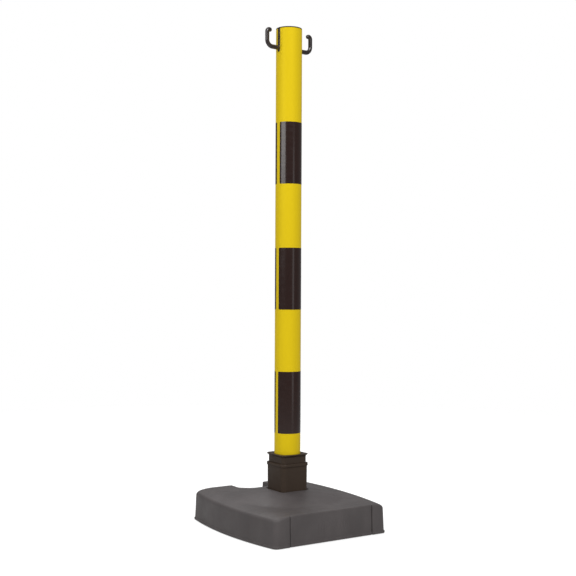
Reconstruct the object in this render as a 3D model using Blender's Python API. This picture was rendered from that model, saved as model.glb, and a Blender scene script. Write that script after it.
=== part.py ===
"""Delineator post: a striped tube with two chain hooks, plugged into a ballasted base.

The origin is on the floor under the post's axis, +Z is up, the hooks point roughly along X, and
the base's two flat sides face along Y. Lengths are in metres.
"""

from math import atan, cos, hypot, pi, radians, sin, sqrt, tan, tau

import bmesh
import bpy
from mathutils import Vector

MM = 0.001

# Clearances
TOUCH_GAP = 0.3 * MM  # between pieces that rest on, are cast in or are stuck to each other
SLIDE_GAP = 0.4 * MM  # on each side of a piece that slides out

# Post
TOTAL_HEIGHT = 953.8 * MM
TUBE_DIAMETER = 50 * MM
TUBE_WALL = 2.2 * MM
BAND_THICKNESS = 0.3 * MM
POST_TURN = radians(5)  # how far the hooks stand turned from X
BAND_HEIGHT = 117.6 * MM
BANDS = (  # name, bottom, and the middle and width of the open seam in degrees
    ("band_lower", 180 * MM, 180.9, 18.5),
    ("band_middle", 415.6 * MM, 182.1, 19.0),
    ("band_upper", 654.9 * MM, 184.6, 20.0),
)

# Cap and hooks
CAP_THICKNESS = 2 * MM
CAP_SKIRT_DEPTH = 12 * MM
CAP_SKIRT_WALL = 1.8 * MM
HOOK_ROD_WIDTH = 6.8 * MM  # across the hook's plane
HOOK_ROD_DEPTH = 8.6 * MM  # in the hook's plane
HOOK_REACH = 52.6 * MM  # from the post's axis to the upright arm's middle
HOOK_BEND_RADIUS = 12 * MM
HOOK_CURL_RADIUS = 4.4 * MM
HOOK_CURL_TURN = radians(112)
HOOK_TIP_BELOW_TOP = 3.6 * MM
WEB_RELIEF = 0.3 * MM  # how far the rod stands out of each face of the web
SLOT_DEPTH = 45.3 * MM
BAR_ABOVE_SLOT_END = 8 * MM

# Adapter and socket
NECK_WALL = 2.2 * MM
NECK_CORNER_RADIUS = 7 * MM
NECK_SHOWN = 17.2 * MM  # between the sleeve's top and the flange's top
FLANGE_OVERHANG = 11.7 * MM
FLANGE_RIM = 2 * MM
FLANGE_ROOT = 3.6 * MM
CORE_WALL = 1.6 * MM
LEDGE = 4 * MM
LEDGE_WIDTH = 4 * MM
SLEEVE_WALL = 2.1 * MM
SLEEVE_FLOOR = 4 * MM
SLEEVE_STAND_OUT = 48.7 * MM
SLEEVE_TAPER = 0.3 * MM
SLEEVE_LIP = 1.3 * MM
SLEEVE_LIP_HEIGHT = 5.6 * MM
ANCHOR_WIDTH = 9 * MM
ANCHOR_HEIGHT = 4 * MM
DRAIN_DIAMETER = 20 * MM

# Base
BASE_LENGTH = 300 * MM  # along Y, between the flat sides
BASE_WIDTH = 277 * MM  # along X, over the bulged sides
SIDE_BULGE = 16 * MM
FLOOR_CORNER_RADIUS = 10 * MM
TOP_CORNER_RADIUS = 11 * MM
CROWN_HEIGHT = 74.8 * MM  # where the dome meets the sleeve
DOME_SLOPE = 0.235
RIM_HEIGHT = 57.6 * MM
RIM_RISE = 1.6 * MM  # how much higher the rim is at the rear edge, and lower at the front edge
DOME_BLEND = 1.5 * MM
SHOULDER_WIDTH = 32 * MM
SHOULDER_DROP = 9 * MM
EDGE_FILLET = 3 * MM
WALL_DRAFT = 1.2 * MM
FLOOR_LIP = 1.2 * MM
FLOOR_LIP_HEIGHT = 4 * MM
SHELL_WALL = 3 * MM
PANEL_WIDTH = 177 * MM
PANEL_DEPTH = 1.8 * MM
NOTCH_WIDTH = 68.2 * MM
NOTCH_DEPTH = 29 * MM  # at its two ends
NOTCH_SCOOP = 18 * MM  # how much deeper it is in the middle
FOOT_DIAMETER = 24 * MM
FOOT_THICKNESS = 3 * MM
FOOT_STAND = 1.2 * MM  # how far the feet hold the shell off the floor
FOOT_FROM_CORNER = 27 * MM
PLATE_THICKNESS = 3.2 * MM
BOSS_DIAMETER = 12 * MM
BOSS_FROM_SIDE = 30 * MM
BOSS_SPACING = 116 * MM  # along Y
SCREW_DIAMETER = 4 * MM
SCREW_LENGTH = 16 * MM
SCREW_HEAD_DIAMETER = 8 * MM
SCREW_HEAD_HEIGHT = 2.2 * MM
PILOT_ROOM = 2 * MM  # past the screw's tip

# How finely round shapes are cut
TUBE_STEPS = 48
SMALL_STEPS = 16
ROD_SIDES = 12
CORNER_STEPS = 5
SIDE_STEPS = 6
FLAT_STEPS = 4
NOTCH_STEPS = 8
BEND_STEPS = 8
CURL_STEPS = 6
TOP_RING_SCALES = (0.94, 0.86, 0.76, 0.6, 0.4, 0.15)

# Sizes that follow from the ones above
TUBE_RADIUS = TUBE_DIAMETER / 2
TUBE_BORE_RADIUS = TUBE_RADIUS - TUBE_WALL
TUBE_TOP = TOTAL_HEIGHT - CAP_THICKNESS - TOUCH_GAP
SLOT_END = TUBE_TOP - SLOT_DEPTH
SLOT_WIDTH = HOOK_ROD_WIDTH + 2 * TOUCH_GAP
WEB_THICKNESS = HOOK_ROD_WIDTH - 2 * WEB_RELIEF
SHELL_BOTTOM = FOOT_STAND
PLATE_TOP = SHELL_BOTTOM + PLATE_THICKNESS
WALL_START = PLATE_TOP + FLOOR_LIP_HEIGHT / 2  # the wall leans inwards from here up
NECK_BORE_RADIUS = TUBE_RADIUS + TOUCH_GAP
NECK_SIZE = 2 * (NECK_BORE_RADIUS + NECK_WALL)
SOCKET_SIZE = NECK_SIZE + 2 * SLIDE_GAP
SLEEVE_SIZE = SOCKET_SIZE + 2 * SLEEVE_WALL
SLEEVE_CORNER_RADIUS = NECK_CORNER_RADIUS + SLIDE_GAP + SLEEVE_WALL
SLEEVE_BOTTOM = PLATE_TOP + TOUCH_GAP
SLEEVE_TOP = CROWN_HEIGHT + SLEEVE_STAND_OUT
NECK_BOTTOM = SLEEVE_BOTTOM + SLEEVE_FLOOR + TOUCH_GAP
TUBE_BOTTOM = NECK_BOTTOM + LEDGE + TOUCH_GAP
FLANGE_TOP = SLEEVE_TOP + NECK_SHOWN
FLANGE_RADIUS = NECK_SIZE / 2 + FLANGE_OVERHANG
WALL_TOP_INSET = FLOOR_LIP + WALL_DRAFT
NOTCH_HALF_WIDTH = NOTCH_WIDTH / 2
NOTCH_RADIUS = (NOTCH_HALF_WIDTH**2 + NOTCH_SCOOP**2) / (2 * NOTCH_SCOOP)
NOTCH_CENTER_Y = BASE_LENGTH / 2 - NOTCH_DEPTH - NOTCH_SCOOP + NOTCH_RADIUS
FOOT_X = BASE_WIDTH / 2 - SIDE_BULGE - FOOT_FROM_CORNER
FOOT_Y = BASE_LENGTH / 2 - FOOT_FROM_CORNER
BOSS_X = BASE_WIDTH / 2 - BOSS_FROM_SIDE
BOSS_Y = BOSS_SPACING / 2
CORNERS = ((1, 1), (-1, 1), (-1, -1), (1, -1))


def clear_scene():
    for obj in list(bpy.data.objects):
        bpy.data.objects.remove(obj)


def material(name, color, roughness):
    made = bpy.data.materials.new(name)
    made.use_nodes = True
    shader = made.node_tree.nodes["Principled BSDF"]
    shader.inputs["Base Color"].default_value = (*color, 1)
    shader.inputs["Roughness"].default_value = roughness
    made.diffuse_color = (*color, 1)
    return made


def add_object(name, bm, finish=None, turn=0):
    """Makes an object of a closed mesh. One without a finish is a helper for Booleans only."""
    bmesh.ops.recalc_face_normals(bm, faces=bm.faces)
    mesh = bpy.data.meshes.new(name)
    bm.to_mesh(mesh)
    bm.free()
    mesh.shade_smooth()
    mesh.set_sharp_from_angle(angle=radians(35))
    obj = bpy.data.objects.new(name, mesh)
    obj.rotation_euler.z = turn
    bpy.context.scene.collection.objects.link(obj)
    if finish:
        mesh.materials.append(finish)
    else:
        obj.hide_render = True
        obj.display_type = "WIRE"
    return obj


def combine(obj, operation, *others):
    """Adds one exact Boolean for each other object: DIFFERENCE cuts it away, UNION joins it on."""
    for other in others:
        modifier = obj.modifiers.new(other.name, "BOOLEAN")
        modifier.operation = operation
        modifier.solver = "EXACT"
        modifier.object = other


def loft(rings):
    """A closed skin through rings of equally many points, capped at both ends."""
    bm = bmesh.new()
    loops = [[bm.verts.new(point) for point in ring] for ring in rings]
    for lower, upper in zip(loops, loops[1:]):
        for i, corner in enumerate(lower):
            following = (i + 1) % len(lower)
            bm.faces.new((corner, lower[following], upper[following]))
            bm.faces.new((corner, upper[following], upper[i]))
    bm.faces.new(loops[0])
    bm.faces.new(loops[-1])
    return bm


def turned(profile, steps):
    """A solid turned about Z from (radius, height) points. A profile off the axis closes into a ring."""
    bm = bmesh.new()
    angles = [tau * i / steps for i in range(steps)]
    loops = [[bm.verts.new((r * cos(a), r * sin(a), z)) for a in angles] for r, z in profile]
    for lower, upper in zip(loops, loops[1:] + loops[:1]):
        for i, corner in enumerate(lower):
            following = (i + 1) % steps
            bm.faces.new((corner, lower[following], upper[following], upper[i]))
    return bm


def disc_stack(profile, steps):
    """A solid of round sections, from (radius, height) points listed from bottom to top."""
    angles = [tau * i / steps for i in range(steps)]
    return loft([[(r * cos(a), r * sin(a), z) for a in angles] for r, z in profile])


def rod(radius, bottom, top, steps):
    return disc_stack([(radius, bottom), (radius, top)], steps)


def box(low, high):
    bm = bmesh.new()
    bmesh.ops.create_cube(bm, size=1)
    low, high = Vector(low), Vector(high)
    for vert in bm.verts:
        vert.co = (low + high) / 2 + vert.co * (high - low)
    return bm


def move(bm, x, y):
    bmesh.ops.translate(bm, vec=(x, y, 0), verts=bm.verts)
    return bm


def rounded_square(size, radius, z):
    """A square ring of points with rounded corners at one height."""
    inner = size / 2 - radius
    ring = []
    for quarter, (sx, sy) in enumerate(CORNERS):
        for i in range(CORNER_STEPS + 1):
            angle = (quarter + i / CORNER_STEPS) * pi / 2
            ring.append((sx * inner + radius * cos(angle), sy * inner + radius * sin(angle), z))
    return ring


def square_prism(sections):
    """A prism of rounded squares, from (size, radius, height) sections listed from bottom to top."""
    return loft([rounded_square(*section) for section in sections])


# Base


def side_x(y, inset):
    """Half the base's width at y, between its bulged sides."""
    return BASE_WIDTH / 2 - inset - SIDE_BULGE * (y / (BASE_LENGTH / 2 - inset)) ** 2


def base_outline(inset, radius):
    """The base's plan, moved inwards by inset: two bulged sides, two flat sides, round corners."""
    half_length = BASE_LENGTH / 2 - inset
    lean = atan(2 * SIDE_BULGE / half_length)
    reach = radius / tan((pi / 2 + lean) / 2)
    center_x = side_x(half_length, inset) - reach
    side_end = half_length - reach * cos(lean)
    quadrant = []
    for i in range(SIDE_STEPS):
        y = side_end * i / SIDE_STEPS
        quadrant.append((side_x(y, inset), y))
    for i in range(CORNER_STEPS + 1):
        angle = lean + (pi / 2 - lean) * i / CORNER_STEPS
        quadrant.append((center_x + radius * cos(angle), half_length - radius + radius * sin(angle)))
    for i in range(1, FLAT_STEPS):
        quadrant.append((center_x * (1 - i / FLAT_STEPS), half_length))
    right_to_rear = quadrant
    rear_to_left = [(-x, y) for x, y in [(0, half_length)] + quadrant[:0:-1]]
    rear_half = right_to_rear + rear_to_left
    return rear_half + [(-x, -y) for x, y in rear_half]


def top_height(x, y):
    """Height of the base's top: a cone round the post, a flatter rim, and shoulders at the bulged sides."""
    dome = CROWN_HEIGHT - DOME_SLOPE * (hypot(x, y) - SLEEVE_SIZE / 2)
    rim = RIM_HEIGHT + RIM_RISE * y / (BASE_LENGTH / 2)
    surface = (dome + rim + sqrt((dome - rim) ** 2 + DOME_BLEND**2)) / 2
    past = abs(x) - (side_x(y, WALL_TOP_INSET) - SHOULDER_WIDTH)
    share = min(max(past / SHOULDER_WIDTH, 0), 1)
    return surface - SHOULDER_DROP * (1 - sqrt(1 - share**2))


def base_form(bottom, shrink, lip):
    """The base's form from the height bottom up, with or without its lip.

    Shrink moves the walls inwards and the top down, so smaller forms nest in larger ones.
    """
    rings = []
    if lip:
        foot = base_outline(0, FLOOR_CORNER_RADIUS)
        rings.append([(x, y, bottom) for x, y in foot])
        rings.append([(x, y, SHELL_BOTTOM + FLOOR_LIP_HEIGHT) for x, y in foot])
    lower = base_outline(FLOOR_LIP + shrink, FLOOR_CORNER_RADIUS)
    if not lip:
        rings.append([(x, y, bottom) for x, y in lower])
    rings.append([(x, y, WALL_START) for x, y in lower])
    for fillet_share in (0, 0.3, 1):
        inset = WALL_TOP_INSET + fillet_share * EDGE_FILLET
        drop = EDGE_FILLET * (1 - sqrt(1 - (1 - fillet_share) ** 2)) + shrink
        outer = base_outline(inset, TOP_CORNER_RADIUS)
        ring = base_outline(inset + shrink, TOP_CORNER_RADIUS)
        rings.append([(x, y, top_height(*above) - drop) for (x, y), above in zip(ring, outer)])
    for scale in TOP_RING_SCALES:
        scaled = []
        for (x, y), (outer_x, outer_y) in zip(ring, outer):
            scaled.append((x * scale, y * scale, top_height(outer_x * scale, outer_y * scale) - shrink))
        rings.append(scaled)
    return loft(rings)


def notch_cutter(margin):
    """The hand notch in the rear side, with its scooped inner wall, grown by margin on every wall."""
    half_width = NOTCH_HALF_WIDTH + margin
    outline = [(half_width, BASE_LENGTH), (-half_width, BASE_LENGTH)]
    for i in range(NOTCH_STEPS + 1):
        x = half_width * (2 * i / NOTCH_STEPS - 1)
        outline.append((x, NOTCH_CENTER_Y - sqrt((NOTCH_RADIUS + margin) ** 2 - x**2)))
    return loft([[(x, y, z) for x, y in outline] for z in (-CROWN_HEIGHT, 2 * CROWN_HEIGHT)])


def panel_cutter():
    """A slab that leans with the front wall's draft and sinks the panel into it."""
    half_width = PANEL_WIDTH / 2
    panel_y = -BASE_LENGTH / 2 + FLOOR_LIP + PANEL_DEPTH
    lean = WALL_DRAFT / (RIM_HEIGHT - EDGE_FILLET - WALL_START)
    rings = []
    for z in (WALL_START, 2 * RIM_HEIGHT):
        y = panel_y + lean * (z - WALL_START)
        plan = ((-half_width, -BASE_LENGTH), (half_width, -BASE_LENGTH), (half_width, y), (-half_width, y))
        rings.append([(*place, z) for place in plan])
    return loft(rings)


def boss_places():
    return [(sx * BOSS_X, sy * BOSS_Y) for sx, sy in CORNERS]


def foot_places():
    return [(sx * FOOT_X, sy * FOOT_Y) for sx, sy in CORNERS]


def make_base_shell(finish):
    shell = add_object("base_shell", base_form(SHELL_BOTTOM, 0, lip=True), finish)
    hollow = add_object("shell_hollow", base_form(-PLATE_THICKNESS, SHELL_WALL, lip=False))
    combine(hollow, "DIFFERENCE", add_object("notch_wall_keeper", notch_cutter(SHELL_WALL)))
    sleeve_hole = square_prism(
        [(SLEEVE_SIZE + 2 * TOUCH_GAP, SLEEVE_CORNER_RADIUS, z) for z in (0, 2 * CROWN_HEIGHT)]
    )
    combine(
        shell,
        "DIFFERENCE",
        hollow,
        add_object("notch_hole", notch_cutter(0)),
        add_object("panel_hole", panel_cutter()),
        add_object("sleeve_hole", sleeve_hole),
    )
    for number, (x, y) in enumerate(boss_places(), 1):
        boss_top = top_height(x, y) - SHELL_WALL / 2
        boss = rod(BOSS_DIAMETER / 2, PLATE_TOP + TOUCH_GAP, boss_top, SMALL_STEPS)
        pilot_top = SHELL_BOTTOM + SCREW_LENGTH + PILOT_ROOM
        pilot = rod(SCREW_DIAMETER / 2 + TOUCH_GAP, 0, pilot_top, ROD_SIDES)
        combine(shell, "UNION", add_object(f"boss_{number}", move(boss, x, y)))
        combine(shell, "DIFFERENCE", add_object(f"pilot_{number}", move(pilot, x, y)))


def make_ballast(finish):
    ballast = add_object(
        "ballast_block", base_form(PLATE_TOP + TOUCH_GAP, SHELL_WALL + TOUCH_GAP, lip=False), finish
    )
    combine(
        ballast,
        "DIFFERENCE",
        add_object("ballast_notch", notch_cutter(SHELL_WALL + TOUCH_GAP)),
        add_object("ballast_socket", sleeve_body(TOUCH_GAP)),
    )
    for number, (x, y) in enumerate(boss_places(), 1):
        hole = rod(BOSS_DIAMETER / 2 + TOUCH_GAP, 0, 2 * CROWN_HEIGHT, SMALL_STEPS)
        combine(ballast, "DIFFERENCE", add_object(f"ballast_boss_hole_{number}", move(hole, x, y)))


def make_base_plate(finish):
    outline = base_outline(FLOOR_LIP + SHELL_WALL + TOUCH_GAP, FLOOR_CORNER_RADIUS)
    slab = loft([[(x, y, z) for x, y in outline] for z in (SHELL_BOTTOM, PLATE_TOP)])
    plate = add_object("base_plate", slab, finish)
    combine(plate, "DIFFERENCE", add_object("plate_notch", notch_cutter(SHELL_WALL + TOUCH_GAP)))
    for number, (x, y) in enumerate(foot_places(), 1):
        pocket = rod(FOOT_DIAMETER / 2 + TOUCH_GAP, -PLATE_THICKNESS, FOOT_THICKNESS + TOUCH_GAP, SMALL_STEPS)
        combine(plate, "DIFFERENCE", add_object(f"foot_pocket_{number}", move(pocket, x, y)))
    for number, (x, y) in enumerate(boss_places(), 1):
        head, shank = SCREW_HEAD_DIAMETER / 2 + TOUCH_GAP, SCREW_DIAMETER / 2 + TOUCH_GAP
        head_top = SHELL_BOTTOM + SCREW_HEAD_HEIGHT + TOUCH_GAP
        profile = [(head, 0), (head, SHELL_BOTTOM), (shank, head_top), (shank, 2 * PLATE_TOP)]
        hole = disc_stack(profile, ROD_SIDES)
        combine(plate, "DIFFERENCE", add_object(f"plate_screw_hole_{number}", move(hole, x, y)))


def make_plate_screws(finish):
    head, shank = SCREW_HEAD_DIAMETER / 2, SCREW_DIAMETER / 2
    profile = [
        (head, SHELL_BOTTOM),
        (shank, SHELL_BOTTOM + SCREW_HEAD_HEIGHT),
        (shank, SHELL_BOTTOM + SCREW_LENGTH - shank),
        (shank / 4, SHELL_BOTTOM + SCREW_LENGTH),
    ]
    for number, (x, y) in enumerate(boss_places(), 1):
        screw = add_object(f"plate_screw_{number}", move(disc_stack(profile, ROD_SIDES), x, y), finish)
        half = SCREW_DIAMETER / 8
        drive = box((-1.2 * shank, -half, -half), (1.2 * shank, half, SHELL_BOTTOM + SCREW_HEAD_HEIGHT / 2))
        combine(screw, "DIFFERENCE", add_object(f"screw_drive_{number}", move(drive, x, y)))


def make_rubber_feet(finish):
    radius = FOOT_DIAMETER / 2
    chamfer = FOOT_STAND / 2
    profile = [(radius - chamfer, 0), (radius, chamfer), (radius, FOOT_THICKNESS)]
    for number, (x, y) in enumerate(foot_places(), 1):
        add_object(f"rubber_foot_{number}", move(disc_stack(profile, SMALL_STEPS), x, y), finish)


# Socket and adapter


def sleeve_body(margin):
    """The sleeve's outside grown by margin, with the flange that anchors it in the ballast."""
    anchor = SLEEVE_SIZE + 2 * ANCHOR_WIDTH + 2 * margin
    slim = SLEEVE_SIZE - 2 * SLEEVE_TAPER + 2 * margin
    full = SLEEVE_SIZE + 2 * margin
    lip = full + 2 * SLEEVE_LIP
    radius = SLEEVE_CORNER_RADIUS + margin
    anchor_top = SLEEVE_BOTTOM + ANCHOR_HEIGHT + margin
    lip_bottom = SLEEVE_TOP - SLEEVE_LIP_HEIGHT
    return square_prism(
        [
            (anchor, radius, SLEEVE_BOTTOM - margin),
            (anchor, radius, anchor_top),
            (slim, radius, anchor_top),
            (slim, radius, CROWN_HEIGHT),
            (full, radius, lip_bottom - SLEEVE_LIP),
            (full, radius, lip_bottom),
            (lip, radius + SLEEVE_LIP, lip_bottom + SLEEVE_LIP / 2),
            (lip, radius + SLEEVE_LIP, SLEEVE_TOP - SLEEVE_LIP / 2),
            (lip - SLEEVE_LIP, radius + SLEEVE_LIP / 2, SLEEVE_TOP),
        ]
    )


def make_socket_sleeve(finish):
    sleeve = add_object("socket_sleeve", sleeve_body(0), finish)
    socket_floor = SLEEVE_BOTTOM + SLEEVE_FLOOR
    socket_radius = NECK_CORNER_RADIUS + SLIDE_GAP
    socket = square_prism([(SOCKET_SIZE, socket_radius, z) for z in (socket_floor, 2 * SLEEVE_TOP)])
    drain = rod(DRAIN_DIAMETER / 2, 0, 2 * socket_floor, SMALL_STEPS)
    combine(sleeve, "DIFFERENCE", add_object("socket", socket), add_object("sleeve_drain", drain))


def make_post_adapter(finish):
    neck_ends = (NECK_BOTTOM, FLANGE_TOP - FLANGE_RIM)
    neck = square_prism([(NECK_SIZE, NECK_CORNER_RADIUS, z) for z in neck_ends])
    adapter = add_object("post_adapter", neck, finish)
    flange = disc_stack(
        [
            (NECK_SIZE / 2, FLANGE_TOP - FLANGE_ROOT),
            (FLANGE_RADIUS - FLANGE_RIM / 3, FLANGE_TOP - FLANGE_RIM),
            (FLANGE_RADIUS, FLANGE_TOP - FLANGE_RIM / 2),
            (FLANGE_RADIUS - FLANGE_RIM / 3, FLANGE_TOP),
        ],
        TUBE_STEPS,
    )
    bore = rod(NECK_BORE_RADIUS, TUBE_BOTTOM - TOUCH_GAP, 2 * FLANGE_TOP, TUBE_STEPS)
    drain = rod(NECK_BORE_RADIUS - LEDGE_WIDTH, 0, FLANGE_TOP, TUBE_STEPS)
    combine(adapter, "UNION", add_object("flange", flange))
    combine(adapter, "DIFFERENCE", add_object("neck_bore", bore), add_object("neck_drain", drain))
    corner_reach = (NECK_SIZE / 2 - NECK_CORNER_RADIUS) * sqrt(2) + NECK_CORNER_RADIUS
    core_diameter = corner_reach - NECK_BORE_RADIUS - 2 * CORE_WALL
    core_place = (NECK_BORE_RADIUS + CORE_WALL + core_diameter / 2) / sqrt(2)
    for number, (sx, sy) in enumerate(CORNERS, 1):
        core = move(rod(core_diameter / 2, 0, SLEEVE_TOP, ROD_SIDES), sx * core_place, sy * core_place)
        combine(adapter, "DIFFERENCE", add_object(f"neck_core_{number}", core))


# Post


def make_post_tube(finish):
    profile = [
        (TUBE_RADIUS, TUBE_TOP),
        (TUBE_RADIUS, TUBE_BOTTOM),
        (TUBE_BORE_RADIUS, TUBE_BOTTOM),
        (TUBE_BORE_RADIUS, TUBE_TOP),
    ]
    tube = add_object("post_tube", turned(profile, TUBE_STEPS), finish, POST_TURN)
    slot = web_section(SLOT_WIDTH, SLOT_END, TOTAL_HEIGHT + SLOT_DEPTH, TUBE_DIAMETER)
    combine(tube, "DIFFERENCE", add_object("tube_slots", slot, turn=POST_TURN))


def make_band(name, bottom, seam_middle_deg, seam_width_deg, finish):
    """A film round the tube that stays open along its seam."""
    middle, width = radians(seam_middle_deg), radians(seam_width_deg)
    top = bottom + BAND_HEIGHT
    inner = TUBE_RADIUS + TOUCH_GAP / 2
    outer = inner + BAND_THICKNESS
    rings = []
    for i in range(TUBE_STEPS + 1):
        angle = middle + width / 2 + (tau - width) * i / TUBE_STEPS
        section = ((inner, bottom), (outer, bottom), (outer, top), (inner, top))
        rings.append([(r * cos(angle), r * sin(angle), z) for r, z in section])
    add_object(name, loft(rings), finish)


def web_section(thickness, bottom, top, half_span):
    """A plate across the tube along X, with a round lower edge."""
    radius = thickness / 2
    outline = [(-radius, top)]
    for i in range(CORNER_STEPS + 1):
        angle = pi + pi * i / CORNER_STEPS
        outline.append((radius * cos(angle), bottom + radius + radius * sin(angle)))
    outline.append((radius, top))
    return loft([[(x, y, z) for y, z in outline] for x in (-half_span, half_span)])


def hook_path(side):
    """(place, radius) along one hook's rod: out of the web, up its arm and round its curled tip.

    The radius is the one in the hook's plane.
    """
    radius = HOOK_ROD_DEPTH / 2
    bar_z = SLOT_END + BAR_ABOVE_SLOT_END
    arm_top = TOTAL_HEIGHT - HOOK_TIP_BELOW_TOP - radius - HOOK_CURL_RADIUS
    bend_start = HOOK_REACH - HOOK_BEND_RADIUS
    path = [((TUBE_BORE_RADIUS / 2, bar_z), radius)]
    for i in range(BEND_STEPS + 1):
        angle = -pi / 2 + pi / 2 * i / BEND_STEPS
        x = bend_start + HOOK_BEND_RADIUS * cos(angle)
        path.append(((x, bar_z + HOOK_BEND_RADIUS * (1 + sin(angle))), radius))
    for i in range(CURL_STEPS + 1):
        angle = HOOK_CURL_TURN * i / CURL_STEPS
        x = HOOK_REACH - HOOK_CURL_RADIUS + HOOK_CURL_RADIUS * cos(angle)
        path.append(((x, arm_top + HOOK_CURL_RADIUS * sin(angle)), radius))
    end_x, end_z = path[-1][0]
    heading = HOOK_CURL_TURN + pi / 2
    for angle in (pi / 6, pi / 3, pi * 0.44):
        ahead = radius * sin(angle)
        place = (end_x + ahead * cos(heading), end_z + ahead * sin(heading))
        path.append((place, radius * cos(angle)))
    return [((side * x, z), r) for (x, z), r in path]


def swept_rod(path):
    """A slightly flattened rod along a path in the XZ plane, with its own radius at each point."""
    flatness = HOOK_ROD_WIDTH / HOOK_ROD_DEPTH
    rings = []
    for i, ((x, z), radius) in enumerate(path):
        before, after = path[max(i - 1, 0)][0], path[min(i + 1, len(path) - 1)][0]
        run, rise = after[0] - before[0], after[1] - before[1]
        length = hypot(run, rise)
        across = (-rise / length, run / length)
        ring = []
        for step in range(ROD_SIDES):
            angle = tau * step / ROD_SIDES
            shift = radius * cos(angle)
            ring.append((x + across[0] * shift, flatness * radius * sin(angle), z + across[1] * shift))
        rings.append(ring)
    return loft(rings)


def make_hook_insert(finish):
    web_top = TUBE_TOP - TOUCH_GAP
    web = web_section(WEB_THICKNESS, SLOT_END + TOUCH_GAP, web_top, TUBE_RADIUS - TOUCH_GAP)
    insert = add_object("hook_insert", web, finish, POST_TURN)
    for name, side in (("left", -1), ("right", 1)):
        combine(insert, "UNION", add_object(f"hook_{name}", swept_rod(hook_path(side)), turn=POST_TURN))


def make_top_cap(finish):
    cap_bottom = TUBE_TOP + TOUCH_GAP
    chamfer = CAP_THICKNESS / 4
    lid = disc_stack(
        [
            (TUBE_RADIUS, cap_bottom),
            (TUBE_RADIUS, TOTAL_HEIGHT - chamfer),
            (TUBE_RADIUS - chamfer, TOTAL_HEIGHT),
        ],
        TUBE_STEPS,
    )
    skirt_radius = TUBE_BORE_RADIUS - SLIDE_GAP
    skirt = turned(
        [
            (skirt_radius, TOTAL_HEIGHT - CAP_THICKNESS / 2),
            (skirt_radius, TUBE_TOP - CAP_SKIRT_DEPTH),
            (skirt_radius - CAP_SKIRT_WALL, TUBE_TOP - CAP_SKIRT_DEPTH),
            (skirt_radius - CAP_SKIRT_WALL, TOTAL_HEIGHT - CAP_THICKNESS / 2),
        ],
        TUBE_STEPS,
    )
    half_gap = WEB_THICKNESS / 2 + SLIDE_GAP
    web_room = box((-TUBE_DIAMETER, -half_gap, 0), (TUBE_DIAMETER, half_gap, cap_bottom))
    cap = add_object("top_cap", lid, finish, POST_TURN)
    combine(cap, "UNION", add_object("cap_skirt", skirt, turn=POST_TURN))
    combine(cap, "DIFFERENCE", add_object("cap_web_room", web_room, turn=POST_TURN))


def main():
    clear_scene()
    grey = material("base_grey", (0.118, 0.107, 0.104), 0.55)
    black = material("socket_black", (0.038, 0.030, 0.027), 0.42)
    yellow = material("post_yellow", (0.78, 0.60, 0.02), 0.35)
    film = material("band_black", (0.026, 0.018, 0.015), 0.2)
    concrete = material("ballast_concrete", (0.35, 0.34, 0.32), 0.9)
    rubber = material("foot_rubber", (0.015, 0.015, 0.015), 0.85)
    steel = material("screw_steel", (0.55, 0.55, 0.57), 0.35)

    make_base_shell(grey)
    make_ballast(concrete)
    make_base_plate(grey)
    make_plate_screws(steel)
    make_rubber_feet(rubber)
    make_socket_sleeve(black)
    make_post_adapter(black)
    make_post_tube(yellow)
    for band in BANDS:
        make_band(*band, film)
    make_hook_insert(black)
    make_top_cap(black)


main()
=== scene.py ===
"""The looks of the delineator post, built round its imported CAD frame. Lengths are in metres."""

from math import cos, hypot, pi, radians, sin, sqrt, tan, tau

import bmesh
import bpy
from mathutils import Matrix, Vector
from mathutils.geometry import delaunay_2d_cdt


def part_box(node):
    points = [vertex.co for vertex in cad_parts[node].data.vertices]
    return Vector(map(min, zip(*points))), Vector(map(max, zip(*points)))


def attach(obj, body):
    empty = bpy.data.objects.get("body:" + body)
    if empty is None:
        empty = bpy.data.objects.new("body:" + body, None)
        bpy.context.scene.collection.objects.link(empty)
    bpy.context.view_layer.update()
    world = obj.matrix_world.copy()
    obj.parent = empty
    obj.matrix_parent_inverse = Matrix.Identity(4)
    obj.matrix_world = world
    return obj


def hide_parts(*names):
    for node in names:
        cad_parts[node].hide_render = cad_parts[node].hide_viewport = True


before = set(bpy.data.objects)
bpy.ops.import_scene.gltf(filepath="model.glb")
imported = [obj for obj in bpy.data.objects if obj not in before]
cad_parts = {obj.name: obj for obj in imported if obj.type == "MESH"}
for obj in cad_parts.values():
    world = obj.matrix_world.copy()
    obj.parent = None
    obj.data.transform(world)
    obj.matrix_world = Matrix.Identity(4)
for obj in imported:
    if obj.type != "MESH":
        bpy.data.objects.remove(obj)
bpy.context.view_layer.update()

MM = 0.001

# What the frame gives
SHELL_LOW, SHELL_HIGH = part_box("base_shell")
SLEEVE_LOW, SLEEVE_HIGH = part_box("socket_sleeve")
ADAPTER_LOW, ADAPTER_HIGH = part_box("post_adapter")
TUBE_LOW, TUBE_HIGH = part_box("post_tube")
HOOK_LOW, HOOK_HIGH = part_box("hook_insert")
CAP_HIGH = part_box("top_cap")[1]
TOTAL_HEIGHT = CAP_HIGH.z
TUBE_RADIUS = 25 * MM
TUBE_BORE_RADIUS = 22.8 * MM
TOUCH_GAP = 0.3 * MM
SLIDE_GAP = 0.4 * MM

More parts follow.
